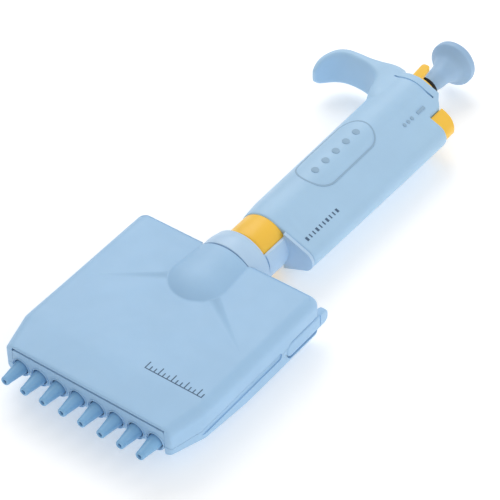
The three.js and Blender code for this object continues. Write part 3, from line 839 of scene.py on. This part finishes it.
def ejector_arm():
    """Blade hugging the neck, with a thin foot under the handle and a line across it by the collar."""
    low, high = cad("ejector_arm")
    bottom, top = low.y, high.y
    inner_r, outer_r = NECK_R + 0.3, 12.5
    tube = [(outer_r, bottom, 0.2), (outer_r, top), (inner_r, top), (inner_r, bottom, 0.2)]
    blade_room = block((0, 20), (90, 119), (-6.5, 6.5), 0.6, "y")
    blade = kept_inside(turned("arm_tube", tube, segments=144), blade_room)
    hull = loft("hull", [web_ring(12.2, 4.95, y) for y in (100, top)])
    foot = kept_inside(block((10.2, 30), (top - 1.4, top), (-12, 12)), hull)
    clear = [(0, 90), (inner_r, 90), (inner_r, 125), (0, 125)]
    line = [(r, COLLAR_TOP + rise) for r, rise in ((11.9, 0.9), (13, 0.9), (13, 1.6), (11.9, 1.6))]
    arm = cut(united(blade, foot), *[turned("cutter", profile, segments=144) for profile in (clear, line)])
    return softened(arm, 0.25, 3, 40)


# Top controls


def top_cap():
    """Ring closing the handle's top round the stem collar."""
    low, high = cad("handle_top_cap")
    profile = [(10.5, low.y, 0.2), (10.5, high.y, 0.5), (5.9, high.y, 0.2), (5.9, low.y, 0.2)]
    return turned("cap", profile, segments=96)


def lock_ring():
    """Stepped disc with a lug standing on its front."""
    disc = turned("disc", [(10.6, 221.8, 0.4), (10.6, 225.2, 0.8), (8.4, 225.4, 0.6), (7.8, 226.4, 0.5),
                           (5.9, 226.4, 0.3), (5.9, 221.8, 0.2)], segments=128)
    outline = [(-2.6, 222.1, 0.3), (1.8, 222.1, 0.3), (0.2, 233.4, 1.4), (-3.4, 233.4, 1.4)]
    lug = prism("lug", filleted(outline, 6), 8.2, 10.4)
    return united(disc, softened(lug, 0.4, 3, 45))


def stem_collar():
    """Thin bush round the plunger's stem, with a small flange."""
    profile = [(5.6, 216), (5.6, 229.4, 0.3), (6, 229.8, 0.3), (6, 231, 0.4), (4.8, 231, 0.2), (4.8, 216)]
    return turned("stem_collar", profile, segments=72)


def plunger_knob():
    """Mushroom knob on a stem that is waisted where it enters the collar."""
    stem = [(0, 200), (4.5, 200, 0.3), (4.5, 225.5, 0.5), (3, 227.5, 1), (3, 231.5, 8), (4.4, 238, 10)]
    flare = [(4.6, 242.5, 14), (6.4, 247.2, 6), (10.05, 250.3, 1.1)]
    crown = [(10.05, 253, 1.6), (7, 256, 6), (3, KNOB_TOP), (0, KNOB_TOP)]
    return turned("knob", stem + flare + crown, segments=128, steps=8)


def window_lens():
    """Clear piece of a tube closing the window on the back."""
    tube = turned("lens", [(13, 187.8), (13, 203.2), (11.2, 203.2), (11.2, 187.8)], segments=160)
    return softened(kept_inside(tube, block((-3.9, 3.9), (180, 210), (-15, 0), 1, "z")), 0.2, 2, 50)


def digit_ring(node):
    """Counter ring with a notch for each of its ten places."""
    low, high = cad(node)
    profile = [(high.x, low.y, 0.2), (high.x, high.y, 0.2), (5.9, high.y, 0.1), (5.9, low.y, 0.1)]
    ring = turned(node, profile, segments=80)
    places = 10
    for i in range(places):
        notch = block((-0.25, 0.25), (low.y + 0.9, high.y - 0.9), (high.x - 0.25, high.x + 1))
        notch.data.transform(Matrix.Rotation(2 * math.pi * i / places, 4, "Y"))
        ring = cut(ring, notch)
    return ring


# Springs


def coil(name, node, wire, coils):
    """Compression spring of round wire filling its CAD node's box, with closed ends and an open middle."""
    low, high = cad(node)
    centre = (low.x + high.x) / 2
    radius = (high.x - low.x) / 2 - wire
    bottom, top = low.y + wire, high.y - wire
    closed_pitch = 2.1 * wire
    open_length = top - bottom - 2 * closed_pitch
    steps, sides = 28 * coils, 10
    rings = []
    for i in range(steps + 1):
        turns = coils * (i / steps)
        open_part = min(max((turns - 1) / (coils - 2), 0), 1)
        closed_turns = min(turns, 1) + max(turns - coils + 1, 0)
        y = bottom + closed_pitch * closed_turns + open_length * open_part
        a = 2 * math.pi * turns
        spoke = Vector((math.cos(a), 0, math.sin(a)))
        middle = Vector((centre, y, 0)) + spoke * radius
        rings.append([
            middle + spoke * wire * math.cos(b) + Vector((0, wire * math.sin(b), 0))
            for b in (2 * math.pi * k / sides for k in range(sides))
        ])
    return loft(name, rings)


def springs(steel):
    """The five springs, each filling its CAD node's box and handed to its body in place of the node."""
    for name, node, wire, coils, joint, keep, body in (
        ("main_coil", "plunger_spring", 0.45, 10, "plunger_press", 0.732, "handle"),
        ("blowout_coil", "blowout_spring", 0.7, 6, "blowout_press", 0.875, "handle"),
        ("ejector_coil", "ejector_spring", 0.4, 10, "ejector_press", 0.804, "handle"),
        ("return_coil_left", "return_spring_left", 0.3, 9, "carriage_slide", 0.56, "head"),
        ("return_coil_right", "return_spring_right", 0.3, 9, "carriage_slide", 0.56, "head"),
    ):
        obj = placed(coil(name, node, wire, coils), name, body, steel, node)
        anchor = Vector((cad_middle(node)[0], cad(node)[0].y, 0)) * MM + Vector((0, TIPS, 0))
        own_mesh(obj)


# Marks


def head_bar(x, y, width, length):
    """Thin print on the head's face."""
    across, along = (x - width / 2, x + width / 2), (y - length / 2, y + length / 2)
    return block(across, along, (FACE_Z - 0.4, FACE_Z + 0.04))


def head_scale():
    """Printed scale: a base line with evenly spaced ticks, every third one longer."""
    first, span, spaces, base = 12.2, 25.6, 13, 28.6
    ticks = []
    for i in range(spaces + 1):
        length = 3.4 if i % 3 == 0 else 1.9
        ticks.append(head_bar(first + i * span / spaces, base + length / 2, 0.42, length))
    return united(head_bar(first + span / 2, base - 0.1, span + 0.4, 0.35), *ticks)


def handle_front(x, y):
    """Height of the handle's front surface: the barrel's circle, then the straight flank."""
    barrel_r = 12.5 + (y - 150) * 0.01
    web_r = 5.35 + (y - 150) * 0.0105
    lean = math.asin((barrel_r - web_r) / WEB_X)
    start = barrel_r * math.sin(lean)
    if x < start:
        return math.sqrt(barrel_r ** 2 - x ** 2)
    return barrel_r * math.cos(lean) - (x - start) * math.tan(lean)


def ribbon_loop(path, width, lift, sink):
    """Closed raised line laid on the handle."""
    count = len(path)
    loops = []
    for i in range(count):
        ahead = Vector(path[(i + 1) % count]) - Vector(path[i - 1])
        normal = Vector((-ahead.y, ahead.x)).normalized() * (width / 2)
        here = Vector(path[i])
        outer, inner = here + normal, here - normal
        corners = ((outer, lift), (inner, lift), (inner, -sink), (outer, -sink))
        loops.append([(p.x, p.y, handle_front(p.x, p.y) + rise) for p, rise in corners])
    return loft("line", loops, close_ends=False, closed=True)


def handle_dot(x, y, radius, lift):
    """Round stud standing on the handle."""
    count = 28
    angles = [2 * math.pi * i / count for i in range(count)]
    rows = []
    for r, rise in ((radius, -0.6), (radius, lift - 0.08), (radius - 0.12, lift)):
        ring = [(x + r * math.cos(a), y + r * math.sin(a)) for a in angles]
        rows.append([(u, v, handle_front(u, v) + rise) for u, v in ring])
    return loft("dot", rows)


def handle_bar(x, y, width, length, lift):
    """Short mark laid on the handle."""
    corners = [(x + u * width / 2, y + v * length / 2) for u, v in ((-1, -1), (1, -1), (1, 1), (-1, 1))]
    rows = [[(u, v, handle_front(u, v) + rise) for u, v in corners] for rise in (-0.5, lift)]
    return loft("bar", rows)


def stadium(x, y, radius, reach):
    """Closed line with straight flanks along Y and round ends that far from its middle."""
    steps = 16
    points = []
    for end, start in ((y + reach - radius, 0), (y - reach + radius, math.pi)):
        for i in range(steps + 1):
            a = math.pi * i / steps + start
            points.append((x + radius * math.cos(a), end + radius * math.sin(a)))
    return points


def handle_badge():
    """Plain stadium line round a row of dots."""
    x, y = 0.8, 164.5
    line = ribbon_loop(stadium(x, y, 8.6, 21), 0.6, 0.22, 0.6)
    return joined("badge", line, *[handle_dot(x, y + 7 * (i - 2), 1.6, 0.35) for i in range(5)])


def handle_ticks():
    """Even row of printed dashes low on the handle, on the button's side, every third one wider."""
    lengths = [0.6 if i % 3 else 1.1 for i in range(10)]
    return joined("ticks", *[handle_bar(17.5, 122 + 2.2 * i, 1.6, lengths[i], 0.05) for i in range(10)])


def handle_studs():
    """Three small raised dots and a raised bar in a row beside the button."""
    dots = [handle_dot(12, 197 + 2.6 * i, 0.8, 0.3) for i in range(3)]
    return joined("studs", *dots, handle_bar(12, 208.5, 1.2, 5, 0.3))


def build():
    """Places every visible piece, then dresses the CAD nodes that stay in view as they are."""
    m = make_materials()
    placed(front_shell(), "head_front", "head", m["body_plastic"], "head_front_shell")
    placed(rear_shell(), "head_rear", "head", m["body_plastic"], "head_rear_shell")
    placed(side_latch(1), "latch_right", "head", m["body_plastic"], "side_latch_right")
    placed(side_latch(-1), "latch_left", "head", m["body_plastic"], "side_latch_left")
    placed(neck_collar(), "collar", "head", m["pale_plastic"], "neck_collar")
    placed(comb(), "comb_plate", "comb", m["body_plastic"], "ejector_comb")
    for i, x in enumerate(CHANNEL_XS):
        placed(nozzle(x), f"nozzle_cone_{i + 1}", "head", m["nozzle_plastic"], f"nozzle_{i + 1}")
    placed(neck_tube(), "neck", "handle", m["yellow_plastic"], "neck_tube")
    placed(handle_shell(), "handle_body", "handle", m["handle_plastic"], "handle_shell", angle=50)
    placed(top_cap(), "cap", "handle", m["handle_plastic"], "handle_top_cap")
    placed(window_lens(), "lens", "handle", m["window"], "window_lens")
    placed(stem_collar(), "stem_bush", "handle", m["black_plastic"], "stem_collar")
    placed(lock_ring(), "lock_ring", "lock", m["yellow_plastic"], "volume_lock_ring")
    placed(plunger_knob(), "knob", "plunger", m["knob_plastic"], "plunger_knob")
    placed(ejector_button(), "eject_button", "ejector", m["yellow_plastic"], "ejector_button")
    placed(ejector_arm(), "eject_arm", "ejector", m["pale_plastic"], "ejector_arm")
    for node, body in (("digit_ring_ones", "dial"), ("digit_ring_tens", "tens_wheel"),
                       ("digit_ring_hundreds", "hundreds_wheel")):
        placed(digit_ring(node), node.replace("digit_ring", "number_ring"), body, m["white_plastic"], node)
    for i, (x, y) in enumerate(SCREWS):
        placed(shell_screw(x, y), f"case_screw_{i + 1}", "head", m["steel"], f"shell_screw_{i + 1}")
    springs(m["spring_steel"])
    placed(handle_ticks(), "handle_marks", "handle", m["print"])
    placed(handle_studs(), "handle_studs", "handle", m["embossed_painted_shade"])
    placed(head_scale(), "head_marks", "head", m["print"])
    placed(handle_badge(), "handle_badge", "handle", m["embossed_painted_shade"])
    for name, node in frame["nodes"].items():
        node.data.materials.clear()
        node.data.materials.append(m[SLOTS[name]])


# Stage


# Angles in degrees, lengths in metres, the sensor in millimetres and the lens as a share of it
CAMERA_AZIMUTH = 37.487
CAMERA_ELEVATION = 42.98
CAMERA_ROLL = -1.246
CAMERA_DISTANCE = 0.87017
CAMERA_PAN = (0.064642, 0.060805)
CAMERA_FOCAL_RATIO = 4.82892
SENSOR = 36


def studio_camera():
    """Camera turned by azimuth and elevation, then rolled. The pan moves it across its own view."""
    a, e = math.radians(CAMERA_AZIMUTH), math.radians(CAMERA_ELEVATION)
    back = Vector((math.sin(a) * math.cos(e), -math.cos(a) * math.cos(e), math.sin(e)))
    right = Vector((math.cos(a), math.sin(a), 0))
    up = back.cross(right)
    c, s = math.cos(math.radians(CAMERA_ROLL)), math.sin(math.radians(CAMERA_ROLL))
    right, up = c * right + s * up, -s * right + c * up
    data = bpy.data.cameras.new("camera")
    data.sensor_width = SENSOR
    data.lens = SENSOR * CAMERA_FOCAL_RATIO
    data.clip_end = 20
    camera = bpy.data.objects.new("camera", data)
    bpy.context.scene.collection.objects.link(camera)
    place = right * CAMERA_PAN[0] + up * CAMERA_PAN[1] + back * CAMERA_DISTANCE + Vector((0, TIPS, 0))
    turn = Matrix((right, up, back)).transposed().to_4x4()
    camera.matrix_world = Matrix.Translation(place) @ turn
    bpy.context.scene.camera = camera


def stage():
    """Plain pale floor just under the part."""
    level, half = CAD_BOX[0].z - 0.0001, 3
    bm = bmesh.new()
    corners = [(-half, -half), (half, -half), (half, half), (-half, half)]
    bm.faces.new([bm.verts.new((x, y, level)) for x, y in corners])
    floor = from_bmesh("floor", bm)
    g = Graph("floor")
    speck = g.noise(3, 3)
    tint = g.mixed(g.ranged(speck, 0, 1), (0.93, 0.93, 0.93), (0.95, 0.95, 0.95))
    g.colored(tint)
    g.shader.inputs["Roughness"].default_value = 0.9
    g.shader.inputs["Specular IOR Level"].default_value = 0.1
    g.shader.inputs["Emission Color"].default_value = (1, 1, 1, 1)
    g.shader.inputs["Emission Strength"].default_value = 0.26
    floor.data.materials.append(g.material)


def lamp(name, place, target, size, power):
    """Square area light facing a target."""
    data = bpy.data.lights.new(name, "AREA")
    data.size = size
    data.energy = power
    light = bpy.data.objects.new(name, data)
    bpy.context.scene.collection.objects.link(light)
    light.location = place
    light.rotation_euler = (Vector(target) - Vector(place)).to_track_quat("-Z", "Y").to_euler()


def lights():
    """A key from behind on the left, a fill from the right, a weak front light and an even sky."""
    middle = (0, 0.1, 0)
    lamp("key", (-0.55, 0.6, 0.8), middle, 0.8, 5.0)
    lamp("fill", (0.9, 0, 0.5), middle, 1.1, 3.3)
    lamp("front", (-0.3, -0.9, 0.7), middle, 1.1, 0.4)
    world = bpy.data.worlds.new("studio")
    world.use_nodes = True
    sky = world.node_tree.nodes["Background"]
    sky.inputs["Color"].default_value = (1, 1, 1, 1)
    sky.inputs["Strength"].default_value = 0.54
    bpy.context.scene.world = world
    bpy.context.scene.view_settings.view_transform = "Standard"


build()
studio_camera()
stage()
lights()
